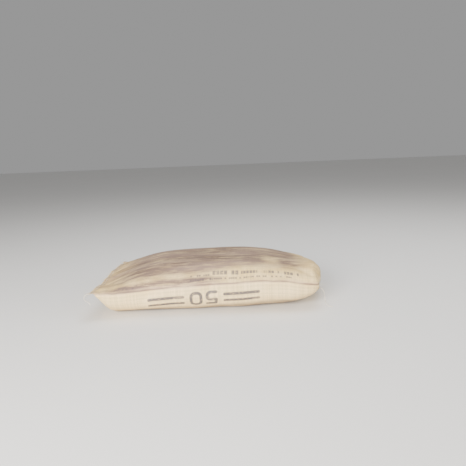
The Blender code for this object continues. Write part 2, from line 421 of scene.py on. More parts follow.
# Faded printing on the front, upside down: where a plain 50 stands, how dark and worn it is, its strokes
PRINT_PLACE = (0.372, -0.043)
PRINT_DEPTH = 0.95
WORN_STREAKS = (0.26, 0.46)
WORN_PATCHES = (0.25, 0.50, 0.65, 1.0)
PRINT_STROKE = 0.0095
PRINT_EDGE = 0.0006
FIVE_BOWL = ((-0.020, -0.0075), 0.0120)
FIVE_STROKES = (
    ((-0.008, 0.0195), (-0.034, 0.0195)),
    ((-0.034, 0.0195), (-0.036, 0.0045)),
    ((-0.036, 0.0045), (-0.020, 0.0045)),
    ((-0.020, -0.0195), (-0.036, -0.0195)),
)
NOUGHT_CENTRE = (0.026, 0.0)
NOUGHT_CORE = (0.003, 0.0075)
NOUGHT_RADIUS = 0.0120
BARS = (
    ((-0.165, 0.0115), (-0.062, 0.0115)),
    ((-0.165, -0.0105), (-0.062, -0.0105)),
    ((0.066, 0.0115), (0.170, 0.0115)),
    ((0.066, -0.0105), (0.170, -0.0105)),
)

# Small faded rows above the fold: start and end along the bag, level above the fold, and height
SMALL_ROWS = (
    (0.395, 0.478, 0.030, 0.0170),
    (0.486, 0.536, 0.031, 0.0125),
    (0.556, 0.602, 0.031, 0.0125),
    (0.618, 0.664, 0.027, 0.0150),
    (0.400, 0.640, 0.014, 0.0055),
    (0.330, 0.400, 0.012, 0.0080),
    (0.330, 0.390, 0.028, 0.0060),
    (0.110, 0.165, 0.016, 0.0045),
    (0.110, 0.160, 0.008, 0.0045),
)

# The rows' softness, how long a block is, which are kept, the gap between two, and how dark they are
ROW_END_SOFTNESS = 0.002
ROW_EDGE_SOFTNESS = 0.0007
ROW_BLOCK = 0.004
ROW_BLOCK_BY_HEIGHT = 0.45
ROW_SEED = 7777
ROW_KEPT = (0.26, 0.30)
ROW_GAP = (0.12, 0.24)
ROWS_DEPTH = 0.70
ROWS_OVER_DUST = 0.45


def blend(start, end, share):
    return start + (end - start) * share


def unit(vectors):
    return vectors / np.maximum(np.linalg.norm(vectors, axis=-1, keepdims=True), TINY)


def waver(x, y, z=0.0):
    """Smooth noise about 0."""
    return noise.noise(Vector((x, y, z)))


def run_along(points):
    """How far each point lies along the line through them all."""
    return np.concatenate([[0.0], np.cumsum(np.linalg.norm(np.diff(points, axis=0), axis=1))])


def read_at(places, run, values):
    """Points or directions at these places of a line, between the ones that are listed along its run."""
    return np.stack([np.interp(places, run, values[:, axis]) for axis in range(3)], axis=-1)


def swell(share, fill):
    """How full the wedge is, from 0 at the hem to 1 where the taper ends: steep first, then level."""
    return math.sin(min(max(share, 0.0), 1.0) * math.pi / 2) ** fill


def round_out(share):
    """How full a rounded end is, from 0 at its seam to 1 where the rounding ends: a quarter of a circle."""
    return math.sqrt(1 - (1 - min(max(share, 0.0), 1.0)) ** 2)


def crown_height(x):
    """How high the upper cloth would reach at this place along the bag if nothing had pressed it."""
    return BAG_HEIGHT + CROWN_PRESS - CREST_DROP * ((x - CREST_X) / CREST_REACH) ** 2


@dataclass
class Station:
    """One cross-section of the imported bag: where it lies, how wide it is and how high its cloth reaches."""

    x: float
    half_width: float
    side: float
    crown: float
    base: float
    pull: float

    def points(self, panel, v):
        """Points of the upper (panel 1) or lower (panel -1) cloth, v from -1 at the front to 1 behind."""
        v = np.asarray(v, dtype=float)
        rise = (1 - np.abs(np.clip(v, -1, 1)) ** SECTION_POWER) ** (1 / SECTION_POWER)
        edge = self.side + panel * HEM_THICKNESS / 2
        level = blend(edge, self.crown if panel > 0 else self.base, rise)
        return np.stack([
            self.x + self.pull * (1 - v * v),
            self.half_width * v,
            np.clip(level, 0.0, BAG_HEIGHT),
        ], axis=-1)


def mouth_station(inset):
    """The section at this distance from the mouth hem's edge, measured at the ears."""
    x = MOUTH_X + inset
    above = swell((inset - MOUTH_HEM_WIDTH) / MOUTH_TAPER_ABOVE, WEDGE_FILL_ABOVE)
    below = swell((inset - MOUTH_HEM_WIDTH) / MOUTH_TAPER_BELOW, WEDGE_FILL_BELOW)
    side = blend(MOUTH_SEAM_HEIGHT, SIDE_HEIGHT, above)
    return Station(
        x,
        blend(MOUTH_WIDTH, BODY_WIDTH, above ** EAR_FILL) / 2,
        side,
        blend(side + HEM_THICKNESS / 2, crown_height(x), above),
        blend(side - HEM_THICKNESS / 2, -BASE_PRESS, below),
        MOUTH_PULL * (1 - above),
    )


def butt_station(inset):
    """The section at this distance from the butt seam, measured in the middle."""
    x = BUTT_SEAM_X - inset
    above = round_out(inset / BUTT_ROUND_ABOVE)
    below = round_out(inset / BUTT_ROUND_BELOW)
    plan = round_out(inset / BUTT_ROUND_PLAN)
    side = blend(BUTT_SEAM_HEIGHT, SIDE_HEIGHT, below)
    bow = BUTT_BOW * (1 - plan)
    return Station(
        x - bow,
        blend(BUTT_WIDTH, BODY_WIDTH, plan) / 2,
        side,
        blend(side + HEM_THICKNESS / 2, crown_height(x), above),
        blend(side - HEM_THICKNESS / 2, -BASE_PRESS, below),
        bow,
    )


def inset_at(run):
    """The distance from the butt seam at which the lower cloth has run this far from it."""
    inset = 0.0
    last = butt_station(inset).points(-1, 0.0)
    while run > 0:
        inset += RUN_STEP
        point = butt_station(inset).points(-1, 0.0)
        run -= np.linalg.norm(point - last)
        last = point
    return inset


def on_butt_hem(inset, y, lift):
    """A point this far outside the lower cloth, at a distance from the butt seam and a place across."""
    station = butt_station(inset)
    v = y / station.half_width
    here = station.points(-1, v)
    along = here - butt_station(inset + RUN_STEP).points(-1, v)
    across = station.points(-1, v + ACROSS_STEP) - station.points(-1, v - ACROSS_STEP)
    return Vector(here + lift * unit(np.cross(across, along)))


def mouth_stitching_start():
    """The first two points of the mouth's stitching, at the front ear."""
    station = mouth_station(STITCH_INSET)
    half = MOUTH_WIDTH / 2 - STITCH_SETBACK
    lift = Vector((0, 0, CLEARANCE + THREAD_DIAMETER / 2))
    places = [share * half / station.half_width for share in FIRST_STITCH_SHARES]
    return [Vector(station.points(1, place)) + lift for place in places]


def butt_stitching_start():
    """The first two points of the butt's stitching, at its front end."""
    inset = inset_at(BUTT_HEM_WIDTH - STITCH_INSET)
    half = BUTT_HEM_HALF - STITCH_SETBACK
    lift = HEM_THICKNESS + CLEARANCE + THREAD_DIAMETER / 2
    return [on_butt_hem(inset, share * half, lift) for share in FIRST_STITCH_SHARES]


def smooth_route(corners, count):
    """Points spread evenly in parameter along the Catmull-Rom curve through the corners."""
    padded = [2 * corners[0] - corners[1], *corners, 2 * corners[-1] - corners[-2]]
    found = []
    for step in range(count):
        place = step / (count - 1) * (len(corners) - 1)
        span = min(int(place), len(corners) - 2)
        t = place - span
        a, b, c, d = padded[span:span + 4]
        found.append(0.5 * (
            2 * b
            + (c - a) * t
            + (2 * a - 5 * b + 4 * c - d) * t * t
            + (3 * b - a - 3 * c + d) * t ** 3
        ))
    return found


def tail_points(stitching, route):
    """The route of a free tail, from a clearance beyond the front end of its stitching, above the floor."""
    outward = (stitching[0] - stitching[1]).normalized()
    reaches = [CLEARANCE + TAIL_LEAD * step / LEAD_STEPS for step in range(LEAD_STEPS + 1)]
    corners = [stitching[0] + outward * reach for reach in reaches]
    corners += [stitching[0] + Vector(place) for place in route]
    points = smooth_route(corners, POINTS_PER_TAIL)
    for point in points:
        point.z = max(point.z, THREAD_DIAMETER / 2)
    return points


def ring_of(station):
    """The cloth's ring of grid points at this section, starting at the front fold and going over the top."""
    v = np.sin(np.linspace(-1, 1, SECTION_STEPS) * math.pi / 2)
    loop = np.concatenate([station.points(1, v), station.points(-1, -v)])
    loop = np.concatenate([loop, loop[:1]])
    run = run_along(loop)
    start = np.interp(station.x, FOLD_PLACES, FOLD_RISES) - HEM_THICKNESS / 2
    places = (start + run[-1] * np.arange(CELLS_AROUND) / CELLS_AROUND) % run[-1]
    return read_at(places, run, loop)


def sections():
    """The sections of the cloth's rows, spaced evenly along it, from the mouth hem to the butt seam."""
    split = BAG_LENGTH - HEM_THICKNESS - BUTT_ROUND_BELOW
    turns = np.linspace(0, math.pi / 2, FORM_STEPS)
    found = [mouth_station(split * step / FORM_STEPS) for step in range(FORM_STEPS)]
    found += [butt_station(BUTT_ROUND_BELOW * (1 - math.sin(turn))) for turn in turns]
    upper, lower = (np.array([station.points(panel, 0.0) for station in found]) for panel in (1, -1))
    run = (run_along(upper) + run_along(lower)) / 2
    places = np.linspace(0, run[-1], CELLS_ALONG + 1)
    numbers = np.interp(places, run, np.arange(len(found)))
    return [found[int(round(number))] for number in numbers]


def cloth_grid():
    """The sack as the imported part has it: grid points [row along, column round, xyz]."""
    return np.array([ring_of(station) for station in sections()])


def grid_faces():
    """The grid's faces, with the thin end walls at the mouth's edge and at the butt seam."""
    rows, columns = CELLS_ALONG + 1, CELLS_AROUND
    faces = []
    for row in range(rows - 1):
        for column in range(columns):
            after = (column + 1) % columns
            faces.append((
                row * columns + column,
                (row + 1) * columns + column,
                (row + 1) * columns + after,
                row * columns + after,
            ))
    for row, turned in ((0, False), (rows - 1, True)):
        for column in range(FAR_FOLD):
            mirrored = (columns - column) % columns
            wall = (
                row * columns + column,
                row * columns + column + 1,
                row * columns + columns - column - 1,
                row * columns + mirrored,
            )
            corners = tuple(dict.fromkeys(wall))
            faces.append(corners[::-1] if turned else corners)
    return faces


def grid_normals(grid):
    along = np.gradient(grid, axis=0)
    around = np.roll(grid, -1, axis=1) - np.roll(grid, 1, axis=1)
    return unit(np.cross(along, around))


def soften(grid):
    """Moves the grid where the filling bulges or has sunk, and gives the cloth lumps, gathers and waves."""
    moved = grid.copy()
    for place, spread, push in BULGES:
        nearness = np.exp(-(np.linalg.norm(grid - np.array(place), axis=-1) / spread) ** 2)
        moved += nearness[..., None] * np.array(push)
    outward = grid_normals(moved)
    lumps = np.array([[waver(*point / LUMP_SIZE) for point in row] for row in moved])
    rows = np.arange(len(moved))[:, None]
    fade = np.clip(np.minimum(rows, rows[::-1]) / LUMP_FADE_ROWS, 0, 1)
    moved += (LUMP_HEIGHT * lumps * fade)[..., None] * outward
    gather(moved, outward)
    raise_folds(moved, outward)
    wave_mouth_hem(moved)
    moved[..., 2] = np.maximum(moved[..., 2], 0.0)
    return moved


def gather(grid, outward):
    """Puckers the cloth behind the mouth's stitching, in place, as far as the gathers reach."""
    hem = hem_rows(grid)
    for row in range(hem, CELLS_ALONG):
        reached = (row - hem) * TUBE_LENGTH / CELLS_ALONG / GATHER_REACH
        if reached > 1:
            break
        height = GATHER_HEIGHT * math.sin(math.pi * reached ** 0.5)
        for column in range(CELLS_AROUND):
            y = grid[row, column, 1]
            share = min((MOUTH_WIDTH / 2 - abs(y)) / GATHER_CALM, 1.0)
            pucker = waver(y / GATHER_WIDTH, GATHER_SEEDS[column >= FAR_FOLD], reached)
            grid[row, column] += height * share * 2 * pucker * outward[row, column]


def raise_folds(grid, outward):
    """Stands the tube's two pressed folds up as low ridges, in place."""
    for fold in (0, FAR_FOLD):
        for column, share in ((fold - 1, FOLD_SHOULDER), (fold, 1.0), (fold + 1, FOLD_SHOULDER)):
            grid[:, column] += FOLD_RIDGE * share * outward[:, column]


def wave_mouth_hem(grid):
    """Closes the mouth hem to two layers of cloth and makes it wavy, in place."""
    hem = hem_rows(grid)
    upper = np.arange(1, FAR_FOLD)
    lower = CELLS_AROUND - upper
    for row in range(hem + HEM_FADE_ROWS):
        y = grid[row, upper, 1]
        free = np.clip((y + MOUTH_WIDTH / 2 - EAR_STILL) / EAR_FREE, 0, 1)
        fade = np.clip(1 - (row - hem + 1) / HEM_FADE_ROWS, 0, 1)
        wave = np.array([waver(at / HEM_WAVE_LENGTH, HEM_WAVE_SEED) for at in y])
        wander = np.array([waver(at / HEM_WAVE_LENGTH * HEM_WANDER_RATE, HEM_WANDER_SEED) for at in y])
        for columns in (upper, lower):
            grid[row, columns, 2] += HEM_WAVE * 2 * wave * free * fade
            grid[row, columns, 0] += HEM_EDGE_WANDER * 2 * wander * free * fade
        if row < hem:
            grid[row, lower, 2] = grid[row, upper, 2] - HEM_LAYERS


def hem_rows(grid):
    """How many rows from the mouth lie within its hem."""
    return int((grid[:, 0, 0] < MOUTH_X + MOUTH_HEM_WIDTH + HEM_MARGIN).sum())


def slack_weights(rows):
    """How much too wide the cloth is for its place: most at the two hems, and a little at the folds."""
    run = TUBE_LENGTH * np.arange(rows) / CELLS_ALONG
    near_mouth = np.clip(1 - run / SLACK_FROM_MOUTH, 0, 1) ** SLACK_POWER
    near_butt = np.clip(1 - (TUBE_LENGTH - run) / SLACK_FROM_BUTT, 0, 1) ** SLACK_POWER
    around = np.arange(CELLS_AROUND) / CELLS_AROUND
    from_fold = np.minimum(np.minimum(around, 1 - around), np.abs(around - 0.5))
    near_fold = np.exp(-(from_fold / SLACK_FOLD_WIDTH) ** 2)
    return np.clip(np.maximum(near_mouth, near_butt)[:, None] + SLACK_AT_FOLD * near_fold, 0, 1)


def weight_points(sack, name, weights):
    """Gives every point of the sack's grid its weight in a new vertex group, and returns the group's name."""
    group = sack.vertex_groups.new(name=name)
    for index, weight in enumerate(weights.ravel().tolist()):
        group.add([index], weight, "REPLACE")
    return group.name


def add_filling(sack, grid):
    """Turns the sack into cloth that its filling presses out, held at the hems and where it lies."""
    held = np.where(grid[..., 2] < ON_FLOOR, HOLD_ON_FLOOR, HOLD)
    held[:hem_rows(grid)] = 1.0
    held[-FIXED_BUTT_ROWS:] = 1.0
    cloth = sack.modifiers.new("cloth", "CLOTH")
    sack.modifiers.move(len(sack.modifiers) - 1, 0)
    for name, value in CLOTH_SETTINGS.items():
        setattr(cloth.settings, name, value)
    cloth.settings.effector_weights.gravity = 0
    cloth.settings.vertex_group_mass = weight_points(sack, "held", held)
    cloth.settings.vertex_group_shrink = weight_points(sack, "taut", 1 - slack_weights(len(grid)))
    cloth.collision_settings.use_collision = False
    cloth.collision_settings.use_self_collision = False
    cloth.point_cache.frame_start = 1
    cloth.point_cache.frame_end = SIM_FRAMES
    return cloth


def grid_now(sack, shape):
    """The grid's points as the modifiers leave them. On a subdivided surface they are its first vertices."""
    mesh = sack.evaluated_get(bpy.context.evaluated_depsgraph_get()).data
    found = np.empty(len(mesh.vertices) * 3)
    mesh.vertices.foreach_get("co", found)
    return found[:np.prod(shape)].reshape(shape)


def simulate(sack, grid):
    """Lets the filling press the slack cloth out between its hems, in a cloth simulation."""
    cloth = add_filling(sack, grid)
    scene = bpy.context.scene
    sack.modifiers["smooth"].show_viewport = False
    for number in range(1, SIM_FRAMES + 1):
        scene.frame_set(number)
    moved = grid_now(sack, grid.shape) - grid
    sack.modifiers["smooth"].show_viewport = True
    sack.modifiers.remove(cloth)
    sack.vertex_groups.clear()
    scene.frame_set(1)
    far = np.linalg.norm(moved, axis=-1, keepdims=True)
    settled = grid + moved * np.minimum(1, SIM_REACH / np.maximum(far, TINY))
    settled[..., 2] = np.maximum(settled[..., 2], 0.0)
    return settled


def add_object(name, data):
    made = bpy.data.objects.new(name, data)
    bpy.context.scene.collection.objects.link(made)
    return made


def subdivide(made):
    smooth = made.modifiers.new("smooth", "SUBSURF")
    smooth.levels = 1
    smooth.render_levels = 1


def make_sack(material):
    """The sack's cloth, settled by the simulation. It gives the surface that the rest is sewn to."""
    grid = soften(cloth_grid())
    mesh = bpy.data.meshes.new("sack_cloth")
    mesh.from_pydata(grid.reshape(-1, 3).tolist(), [], grid_faces())
    mesh.validate()
    mesh.shade_smooth()
    mesh.materials.append(material)
    add_cloth_coordinates(mesh)
    sack = add_object("woven_sack", mesh)
    subdivide(sack)
    grid = simulate(sack, grid)
    mesh.vertices.foreach_set("co", grid.ravel())
    mesh.update()
    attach(sack, "root")
    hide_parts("sack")
    return Surface(grid_now(sack, grid.shape))


class Surface:
    """The settled cloth as a surface, read at fractions of a row along it and a column round it."""

    def __init__(self, grid):
        self.grid = grid
        self.normals = grid_normals(grid)

    def read(self, values, row, column):
        row = min(max(row, 0.0), LAST_ROW)
        low, left = int(row), int(math.floor(column))
        up, right = row - low, column - left
        corners = [values[low + i, (left + j) % CELLS_AROUND] for i in (0, 1) for j in (0, 1)]
        return blend(blend(corners[0], corners[1], right), blend(corners[2], corners[3], right), up)

    def point(self, row, column, lift=0.0):
        return self.read(self.grid, row, column) + lift * self.normal(row, column)

    def normal(self, row, column):
        return unit(self.read(self.normals, row, column))


def add_cloth_coordinates(mesh):
    """Two UV maps: the place on the flat tube in metres, and the same laid into a unit square."""
    cloth = mesh.uv_layers.new(name="cloth")
    baked = mesh.uv_layers.new(name="OFBake")
    for face in mesh.polygons:
        columns = [mesh.loops[index].vertex_index % CELLS_AROUND for index in face.loop_indices]
        wraps = max(columns) - min(columns) > FAR_FOLD
        for index, column in zip(face.loop_indices, columns):
            row = mesh.loops[index].vertex_index // CELLS_AROUND
            if wraps and column < FAR_FOLD:
                column += CELLS_AROUND
            along, around = row / CELLS_ALONG, column / CELLS_AROUND
            cloth.data[index].uv = (along * TUBE_LENGTH, around * TUBE_GIRTH)
            baked.data[index].uv = (along, around)


class Shapes:
    """Collects the vertices and faces of many small closed shapes, to become one mesh."""

    def __init__(self):
        self.vertices = []
        self.faces = []

    def skin(self, rings, turned=False):
        """A closed shape over rings of equally many points. Turned is for rings that run the other way."""
        first, sides = len(self.vertices), len(rings[0])
        last = first + (len(rings) - 1) * sides
        self.vertices += [point for ring in rings for point in ring]
        for low in range(first, last, sides):
            for step in range(sides):
                after = (step + 1) % sides
                face = (low + step, low + after, low + sides + after, low + sides + step)
                self.faces.append((face[0], *face[:0:-1]) if turned else face)
        start, end = tuple(range(first, first + sides)), tuple(range(last, last + sides))
        self.faces += [start, end[::-1]] if turned else [start[::-1], end]

    def tube(self, points, widths, heights=None, sides=THREAD_SIDES, normal=START_DIRECTION, lobes=0.0):
        """A tube with a half width and a half height at each of its points; lobes twist round it as plies."""
        points = np.asarray(points, dtype=float)
        widths = np.broadcast_to(widths, len(points))
        heights = widths if heights is None else np.broadcast_to(heights, len(points))
        tangents = unit(np.gradient(points, axis=0))
        side = unit(np.cross(tangents[0], normal))
        run = 0.0
        rings = []
        for index, (point, tangent) in enumerate(zip(points, tangents)):
            side = unit(side - tangent * np.dot(side, tangent))
            top = np.cross(tangent, side)
            run += np.linalg.norm(point - points[index - 1]) if index else 0.0
            ring = []
            for turn in 2 * math.pi * np.arange(sides) / sides:
                swelling = 1 - lobes * (1 - math.cos(PLIES * turn - 2 * math.pi * run / PLY_PITCH))
                across = widths[index] * math.cos(turn) * swelling
                up = heights[index] * math.sin(turn) * swelling
                ring.append(point + side * across + top * up)
            rings.append(ring)
        self.skin(rings)

    def make(self, name, material):
        mesh = bpy.data.meshes.new(name)
        mesh.from_pydata([tuple(vertex) for vertex in self.vertices], [], self.faces)
        mesh.shade_smooth()
        mesh.materials.append(material)
        made = add_object(name, mesh)
        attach(made, "root")
        return made


class Seam:
    """A line of sewing that is read by the distance run along it."""

    def __init__(self, points, normals):
        self.points = np.array(points)
        self.normals = np.array(normals)
        self.run = run_along(self.points)
        self.across = unit(np.cross(self.normals, unit(np.gradient(self.points, axis=0))))
        self.length = self.run[-1]
        self.stitches = int(self.length / STITCH_LENGTH)

    def at(self, run, across=0.0, lift=0.0):
        read = functools.partial(read_at, run, self.run)
        return read(self.points) + read(self.across) * across + read(self.normals) * lift

    def straight_side(self, shapes):
        """The needle's side: one straight run of thread for each stitch, which dives in at both its ends."""
        shares = np.linspace(0, 1, STITCH_STEPS)
        arch = 1 - np.abs(2 * shares - 1) ** STITCH_FLATNESS
        lifts = blend(-STITCH_SINK - STITCH_RADIUS, STITCH_RADIUS * STITCH_RISE, arch)
        for number in range(self.stitches):
            runs = number * STITCH_LENGTH + STITCH_GAP + shares * (STITCH_LENGTH - 2 * STITCH_GAP)
            path = [self.at(run, lift=lift) for run, lift in zip(runs, lifts)]
            shapes.tube(path, STITCH_RADIUS, lobes=PLY_DEPTH)

    def looped_side(self, shapes):
        """The looper's side: a chain of loops, each drawn through the one before."""
        for number in range(self.stitches):
            middle = (number + LOOP_MIDDLE) * STITCH_LENGTH
            path = []
            for turn in np.linspace(-LOOP_TURN, LOOP_TURN, LOOP_STEPS):
                reach = math.cos(turn)
                along = middle + STITCH_LENGTH * LOOP_REACH * reach
                across = LOOP_WIDTH * math.sin(turn) * (1 - LOOP_NARROWING * reach)
                lift = LOOP_RADIUS * (LOOP_LIFTS[0] + LOOP_LIFTS[1] * max(reach, 0.0) ** 2)
                path.append(self.at(min(max(along, 0.0), self.length), across, lift))
            shapes.tube(path, LOOP_RADIUS, lobes=PLY_DEPTH)

    def lead_out(self, shapes, tail):
        """The bit of thread that joins the first stitch to the start of its loose tail."""
        sunk = Vector(self.at(LEAD_SUNK, lift=-STITCH_SINK))
        risen = Vector(self.at(LEAD_RISEN, lift=STITCH_RADIUS))
        shapes.tube(smooth_route([sunk, risen, tail[0]], LEAD_POINTS), STITCH_RADIUS, lobes=PLY_DEPTH)


def mouth_seam(surface, side):
    """The sewing line on the upper (side 1) or lower (side -1) face of the mouth hem, from the front ear."""
    grid = surface.grid
    reach = MOUTH_WIDTH / 2 - STITCH_SETBACK
    upper = np.arange(FAR_FOLD + 1)
    columns = np.interp(np.linspace(-reach, reach, MOUTH_SEAM_POINTS), grid[1, upper, 1], upper)
    if side < 0:
        columns = CELLS_AROUND - columns
    rows = np.arange(MOUTH_SEAM_ROWS)
    row = float(np.interp(MOUTH_X + STITCH_INSET, grid[rows, 0, 0], rows))
    return Seam(
        [surface.point(row, column) for column in columns],
        [surface.normal(row, column) for column in columns],
    )


def make_mouth_stitches(surface, material, tail):
    shapes = Shapes()
    upper = mouth_seam(surface, 1)
    upper.straight_side(shapes)
    mouth_seam(surface, -1).looped_side(shapes)
    upper.lead_out(shapes, tail)
    stitches = shapes.make("mouth_chain_stitches", material)
    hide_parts("mouth_stitching")


class ButtHem:
    """The butt hem as a strip that is folded down over the seam and lies on the cloth below it."""

    def __init__(self, surface):
        self.surface = surface
        lower = np.arange(FAR_FOLD, CELLS_AROUND + 1)
        y = surface.grid[CELLS_ALONG, lower % CELLS_AROUND, 1]
        places = np.linspace(-BUTT_HEM_HALF, BUTT_HEM_HALF, ROLL_CELLS_ACROSS + 1)
        self.columns = np.interp(places, y[::-1], lower[::-1])

    def row_at(self, column, run):
        """The row where the lower cloth has run this far from the butt seam, at this column."""
        left = run
        row = float(CELLS_ALONG)
        while left > 0:
            step = np.linalg.norm(self.surface.point(row - 1, column) - self.surface.point(row, column))
            if step >= left:
                return row - left / step
            left -= step
            row -= 1
        return row

    def stand_off(self, column, run):
        """How far the strip's outer face stands off the cloth: a thin fold at the seam, a wavy free edge."""
        y = self.surface.point(CELLS_ALONG, column)[1]
        long, short = (waver(y / length, seed) for length, seed in zip(ROLL_WAVE_LENGTHS, ROLL_WAVE_SEEDS))
        wave = long + 0.5 * short
        return ROLL_THICKNESS + ROLL_LIFT + ROLL_WAVE * (run / BUTT_HEM_WIDTH) ** 2 * (0.5 + wave)

    def point(self, column, run, lift=0.0):
        row = self.row_at(column, run)
        return self.surface.point(row, column, self.stand_off(column, run) + lift)

    def section(self, column):
        """The strip's outline at this column: over the seam, down its outer face and up its inner one."""
        runs = np.linspace(0.0, BUTT_HEM_WIDTH, ROLL_CELLS_DOWN + 1)
        outer = [self.point(column, run) for run in runs]
        inner = [self.point(column, run, -ROLL_THICKNESS) for run in runs]
        over = self.surface.point(CELLS_ALONG, CELLS_AROUND - column)
        outward = self.surface.normal(CELLS_ALONG, column)
        sunk = over - outward * ROLL_SEAM_SINK
        risen = blend(over, outer[0], ROLL_SEAM_SHARE) + outward * ROLL_SEAM_RISE
        return [sunk, risen] + outer + inner[::-1]

    def make(self, material):
        shapes = Shapes()
        rings = [self.section(column) for column in self.columns]
        shapes.skin(rings, turned=True)
        hem = shapes.make("folded_butt_hem", material)
        self.add_coordinates(hem.data, len(rings[0]))
        subdivide(hem)
        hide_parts("sack")

    def add_coordinates(self, mesh, count):
        """The strip's own place on the flat cloth, past the end of the tube."""
        cloth = mesh.uv_layers.new(name="cloth")
        down = BUTT_HEM_WIDTH / ROLL_CELLS_DOWN
        for loop in mesh.loops:
            index, step = divmod(loop.vertex_index, count)
            around = self.columns[index] / CELLS_AROUND * TUBE_GIRTH
            cloth.data[loop.index].uv = (TUBE_LENGTH + down * min(step, count - step), around)

    def seam(self):
        """The line of sewing along the strip's outer face."""
        run = BUTT_HEM_WIDTH - STITCH_INSET
        share = (BUTT_HEM_HALF - STITCH_SETBACK) / BUTT_HEM_HALF
        places = np.linspace(0.5 - share / 2, 0.5 + share / 2, BUTT_SEAM_POINTS) * ROLL_CELLS_ACROSS
        columns = np.interp(places, np.arange(ROLL_CELLS_ACROSS + 1), self.columns)
        return Seam(
            [self.point(column, run) for column in columns],
            [self.surface.normal(self.row_at(column, run), column) for column in columns],
        )

    def make_stitches(self, material, tail):
        shapes = Shapes()
        seam = self.seam()
        seam.looped_side(shapes)
        seam.lead_out(shapes, tail)
        stitches = shapes.make("butt_chain_stitches", material)
        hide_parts("butt_stitching")


def add_tape(shapes, chance, edge, inner, normal, length, bend, fray):
    """The end of one tape over a raw edge: it bends, sways to a side at random and narrows to its tip."""
    outward = unit(edge - inner)
    lean = normal * bend + np.array((0.0, chance.uniform(-FRAY_SWAY, FRAY_SWAY), 0.0))
    shares = np.linspace(0, 1, fray["points"])[:, None]
    path = edge + outward * (length * shares - fray["root"]) + lean * length * shares ** 2
    path -= normal * fray["droop"] * shares
    widths = np.linspace(1.0, chance.uniform(*fray["tips"]), fray["points"]) * TAPE_WIDTH / 2
    shapes.tube(path, widths, TAPE_THICKNESS / 2, sides=6, normal=normal)


def make_mouth_fray(surface, material):
    """Ends of single tapes along the mouth's raw edge."""
    chance = random.Random(MOUTH_FRAY_SEED)
    shapes = Shapes()
    step = TAPE_WIDTH / MOUTH_WIDTH * CELLS_AROUND / 2
    for side in (1, -1):
        for column in np.arange(MOUTH_FRAY_MARGIN, FAR_FOLD - MOUTH_FRAY_MARGIN, step):
            if chance.random() > FRAY_SHARE:
                continue
            place = column if side > 0 else CELLS_AROUND - column
            edge, inner = surface.point(0, place), surface.point(1, place)
            normal = surface.normal(0, place)
            length = chance.uniform(*MOUTH_FRAY["lengths"])
            length *= LONG_TAPE if chance.random() > 1 - LONG_TAPE_SHARE else 1.0
            bend = chance.uniform(-MOUTH_FRAY_BEND, MOUTH_FRAY_BEND)
            sink = normal * MOUTH_FRAY_SINK
            add_tape(shapes, chance, edge - sink, inner - sink, normal, length, bend, MOUTH_FRAY)
    fray = shapes.make("mouth_edge_fray", material)


def make_hem_fray(hem, material):
    """Short ends of single tapes along the free edge of the folded butt hem."""
    chance = random.Random(BUTT_FRAY_SEED)
    shapes = Shapes()
    places = np.linspace(0, 1, BUTT_FRAY_COUNT)
    for column in np.interp(places, np.linspace(0, 1, len(hem.columns)), hem.columns):
        if chance.random() > FRAY_SHARE:
            continue
        edge = hem.point(column, BUTT_HEM_WIDTH, -BUTT_FRAY_SINK)
        inner = hem.point(column, BUTT_HEM_WIDTH - BUTT_FRAY_STEP, -BUTT_FRAY_SINK)
        normal = hem.surface.normal(hem.row_at(column, BUTT_HEM_WIDTH), column)
        add_tape(shapes, chance, edge, inner, normal, chance.uniform(*BUTT_FRAY["lengths"]), 0.0, BUTT_FRAY)
    fray = shapes.make("butt_edge_fray", material)


def wandering(start, heading, length, seed):
    """A fibre's path: it sets off along its heading, curls about at random and sinks a little."""
    points = [start]
    direction = heading.normalized()
    x, z = (seed * apart for apart in FIBRES_APART)
    for step in range(FIBRE_STEPS):
        turn = Vector([waver(x, step * STEPS_APART, z + axis * AXES_APART) for axis in range(3)])
        direction = (direction + FIBRE_CURL * turn - Vector((0, 0, FIBRE_SAG))).normalized()
        points.append(points[-1] + direction * length / FIBRE_STEPS)
    for point in points:
        point.z = max(point.z, FIBRE_RADIUS)
    return points


def make_ear_fibres(surface, material):
    """Fine fibres and split tapes that stand off the two ears of the mouth and the corners of the butt."""
    chance = random.Random(FIBRE_SEED)
    shapes = Shapes()
    number = 0
    for row, column, heading, count in FIBRE_TUFTS:
        root = Vector(surface.point(row, column))
        for _ in range(count):
            number += 1
            spread = Vector((chance.uniform(-1, 1), chance.uniform(-1, 1), chance.uniform(FIBRE_LOWEST, 1)))
            start = root + FIBRE_ROOT_SPREAD * spread
            direction = Vector(heading) + FIBRE_HEADING_SPREAD * spread
            path = wandering(start, direction, chance.uniform(*FIBRE_LENGTHS), number)
            radius = FIBRE_RADIUS * chance.uniform(*FIBRE_RADIUS_SHARES)
            shapes.tube(path, radius, sides=5)
    fibres = shapes.make("ear_fibres", material)


def make_tail(name, node, points, material):
    """A loose end of twisted sewing thread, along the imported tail's route."""
    fine = smooth_route(points, len(points) * TAIL_FINENESS)
    widths = np.full(len(fine), THREAD_DIAMETER / 2)
    widths[-TAIL_FINENESS:] *= np.linspace(1.0, TAIL_TIP, TAIL_FINENESS)
    shapes = Shapes()
    shapes.tube(fine, widths, sides=12, lobes=PLY_DEPTH)
    tail = shapes.make(name, material)
    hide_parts(node)


def maths_method(operation, turned=False):
    """A method that adds a maths node for a value and the number or value on its other side."""
    def apply(value, *other):
        return value.nodes.math(operation, *((*other, value) if turned else (value, *other)))
    return apply


